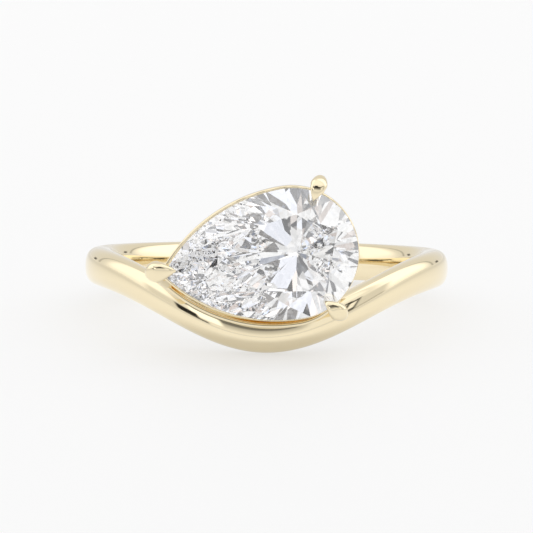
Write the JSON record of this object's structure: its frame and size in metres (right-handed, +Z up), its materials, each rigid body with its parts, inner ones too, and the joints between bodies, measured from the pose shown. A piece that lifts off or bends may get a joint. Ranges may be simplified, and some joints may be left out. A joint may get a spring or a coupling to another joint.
{
  "type": "solitaire ring",
  "caption": "Gold finger ring whose band dips in a smooth curve below a pear-cut clear stone, held on its side by claws and a double gallery rail.",
  "frame": {"origin": "middle of the ring's bounding box, on the surface the ring lies on", "axes": "+Z up from the surface, -Y towards the side where the stone is, +X to the right as seen from the stone's side; the finger hole's axis leans 9.8 degrees from +Z towards +Y, because the ring lies by itself on the bottom of its dip and on the back edge of its band"},
  "size_m": [0.02, 0.0226, 0.0099],
  "materials": {
    "gold": "polished",
    "diamond": "polished facets"
  },
  "bodies": {
    "root": {"band_and_setting": "gold", "stone": "diamond"}
  },
  "joints": []
}
